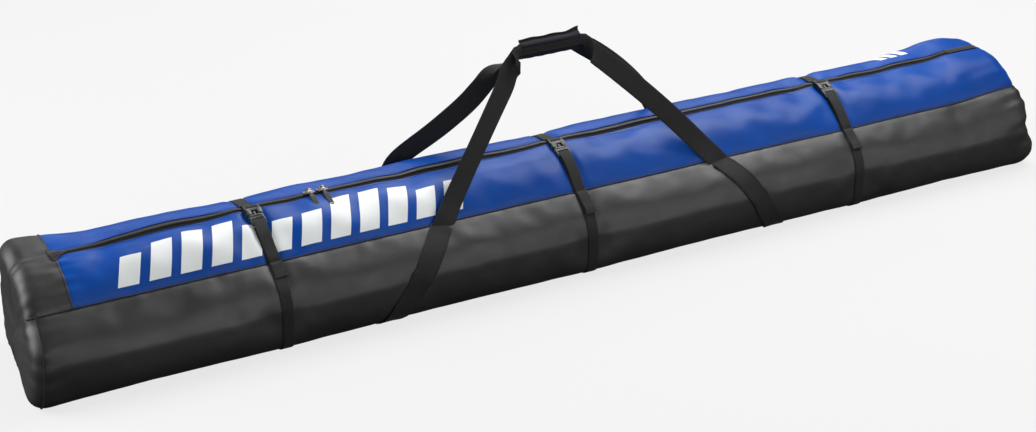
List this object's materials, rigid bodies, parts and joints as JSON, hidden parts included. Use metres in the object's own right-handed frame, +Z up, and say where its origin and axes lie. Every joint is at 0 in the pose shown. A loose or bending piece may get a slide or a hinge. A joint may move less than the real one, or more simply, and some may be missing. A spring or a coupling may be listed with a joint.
{
  "type": "ski bag",
  "caption": "Long padded ski bag with a full-length coil zip under two opening top panels, side-release compression straps and two webbing carry handles joined by a grip wrap.",
  "frame": {"origin": "middle of the flat base that the bag lies on, half way between its ends and its sides", "axes": "+X along the bag towards its right end, -Y towards the front with the buckles, +Z up towards the zip and handles"},
  "size_m": [1.92, 0.2706, 0.3939],
  "materials": {
    "shell_black": "satin coated tarpaulin",
    "top_blue": "glossy coated tarpaulin",
    "lining_grey": "matt woven nylon",
    "foam_grey": "matt closed-cell foam",
    "binding_black": "satin",
    "webbing_black": "matt woven polypropylene",
    "zip_tape_black": "matt woven tape",
    "zip_coil_black": "satin nylon coil",
    "buckle_black": "satin moulded acetal",
    "slider_metal": "dark nickel",
    "tab_rubber": "matt moulded rubber",
    "grip_cloth": "matt nylon",
    "print_white": "satin screen print"
  },
  "bodies": {
    "shell": {"lower_shell": "shell_black", "left_end_cap": "shell_black", "right_end_panel": "shell_black", "right_end_top": "top_blue", "lining": "lining_grey", "base_foam": "foam_grey", "left_end_foam": "foam_grey", "right_end_foam": "foam_grey", "front_seam_piping": "binding_black", "rear_seam_piping": "binding_black", "left_end_welt": "binding_black", "right_end_welt": "binding_black", "zip_garage": "binding_black", "zip_end_stop": "binding_black", "strap_left_under": "webbing_black", "strap_middle_under": "webbing_black", "strap_right_under": "webbing_black", "handle_base_left": "webbing_black", "handle_base_right": "webbing_black"},
    "front_flap": {"front_top_panel": "top_blue", "zip_tape_front": "zip_tape_black", "zip_teeth_front": "zip_coil_black", "strap_left_front": "webbing_black", "strap_middle_front": "webbing_black", "strap_right_front": "webbing_black"},
    "rear_flap": {"rear_top_panel": "top_blue", "zip_tape_rear": "zip_tape_black", "zip_teeth_rear": "zip_coil_black", "strap_left_rear": "webbing_black", "strap_middle_rear": "webbing_black", "strap_right_rear": "webbing_black", "buckle_left_socket": "buckle_black", "buckle_middle_socket": "buckle_black", "buckle_right_socket": "buckle_black"},
    "slider_left_body": {"slider_left": "slider_metal"},
    "slider_right_body": {"slider_right": "slider_metal"},
    "puller_left_body": {"puller_left": "slider_metal", "pull_tab_left": "tab_rubber"},
    "puller_right_body": {"puller_right": "slider_metal", "pull_tab_right": "tab_rubber"},
    "handle_front": {"handle_front_loop": "webbing_black", "grip_wrap": "grip_cloth"},
    "handle_rear": {"handle_rear_loop": "webbing_black"},
    "wrap_flap": {"grip_wrap_flap": "grip_cloth"},
    "buckle_left_half": {"buckle_left_plug": "buckle_black", "buckle_left_prongs": "buckle_black"},
    "strap_left_free_end": {"strap_left_tail": "webbing_black"},
    "buckle_middle_half": {"buckle_middle_plug": "buckle_black", "buckle_middle_prongs": "buckle_black"},
    "strap_middle_free_end": {"strap_middle_tail": "webbing_black"},
    "buckle_right_half": {"buckle_right_plug": "buckle_black", "buckle_right_prongs": "buckle_black"},
    "strap_right_free_end": {"strap_right_tail": "webbing_black"}
  },
  "joints": [
    {"name": "mouth_open", "type": "hinge", "parent": "shell", "child": "front_flap", "pos_m": [0, -0.09338, 0.1402], "axis": [1, 0, 0], "range_deg": [0, 60], "deforming": ["zip_tape_front", "zip_teeth_front"]},
    {"name": "rear_flap_open", "type": "hinge", "parent": "shell", "child": "rear_flap", "pos_m": [0, 0.09338, 0.1402], "axis": [-1, 0, 0], "range_deg": [0, 60], "deforming": ["zip_tape_rear", "zip_teeth_rear"]},
    {"name": "slider_left_slide", "type": "slide", "parent": "shell", "child": "slider_left_body", "axis": [-1, 0, 0], "range_m": [0, 0.4]},
    {"name": "slider_right_slide", "type": "slide", "parent": "shell", "child": "slider_right_body", "axis": [1, 0, 0], "range_m": [0, 1.29]},
    {"name": "puller_left_swing", "type": "hinge", "parent": "slider_left_body", "child": "puller_left_body", "pos_m": [-0.458, 0, 0.2076], "axis": [-1, 0, 0], "range_deg": [0, 120], "deforming": ["pull_tab_left"]},
    {"name": "puller_right_swing", "type": "hinge", "parent": "slider_right_body", "child": "puller_right_body", "pos_m": [-0.434, 0, 0.2076], "axis": [-1, 0, 0], "range_deg": [0, 120], "deforming": ["pull_tab_right"]},
    {"name": "buckle_left_release", "type": "slide", "parent": "front_flap", "child": "buckle_left_half", "axis": [0, -0.9141, -0.4056], "range_m": [0, 0.03], "deforming": ["buckle_left_prongs"]},
    {"name": "free_end_left_swing", "type": "hinge", "parent": "buckle_left_half", "child": "strap_left_free_end", "pos_m": [-0.565, -0.03937, 0.19174], "axis": [-1, 0, 0], "range_deg": [0, 30]},
    {"name": "buckle_middle_release", "type": "slide", "parent": "front_flap", "child": "buckle_middle_half", "axis": [0, -0.9141, -0.4056], "range_m": [0, 0.03], "deforming": ["buckle_middle_prongs"]},
    {"name": "free_end_middle_swing", "type": "hinge", "parent": "buckle_middle_half", "child": "strap_middle_free_end", "pos_m": [0, -0.03937, 0.19174], "axis": [-1, 0, 0], "range_deg": [0, 30]},
    {"name": "buckle_right_release", "type": "slide", "parent": "front_flap", "child": "buckle_right_half", "axis": [0, -0.9141, -0.4056], "range_m": [0, 0.03], "deforming": ["buckle_right_prongs"]},
    {"name": "free_end_right_swing", "type": "hinge", "parent": "buckle_right_half", "child": "strap_right_free_end", "pos_m": [0.565, -0.03937, 0.19174], "axis": [-1, 0, 0], "range_deg": [0, 30]},
    {"name": "handle_front_fold", "type": "hinge", "parent": "front_flap", "child": "handle_front", "pos_m": [0.017, -0.09338, 0.1402], "axis": [1, 0, 0], "range_deg": [0, 55], "deforming": ["grip_wrap"]},
    {"name": "handle_rear_fold", "type": "hinge", "parent": "rear_flap", "child": "handle_rear", "pos_m": [0.017, 0.09338, 0.1402], "axis": [-1, 0, 0], "range_deg": [0, 55]},
    {"name": "wrap_flap_open", "type": "hinge", "parent": "handle_front", "child": "wrap_flap", "pos_m": [-0.02, -0.008, 0.3888], "axis": [1, 0, 0], "range_deg": [0, 110], "deforming": ["grip_wrap_flap"]}
  ],
  "couplings": [
    {"joint": "rear_flap_open", "follows": "mouth_open", "ratio": 1},
    {"joint": "slider_left_slide", "follows": "mouth_open", "m_per_rad": 0.38},
    {"joint": "slider_right_slide", "follows": "mouth_open", "m_per_rad": 1.225},
    {"joint": "free_end_left_swing", "follows": "mouth_open", "ratio": 0.5},
    {"joint": "free_end_middle_swing", "follows": "mouth_open", "ratio": 0.5},
    {"joint": "free_end_right_swing", "follows": "mouth_open", "ratio": 0.5}
  ]
}
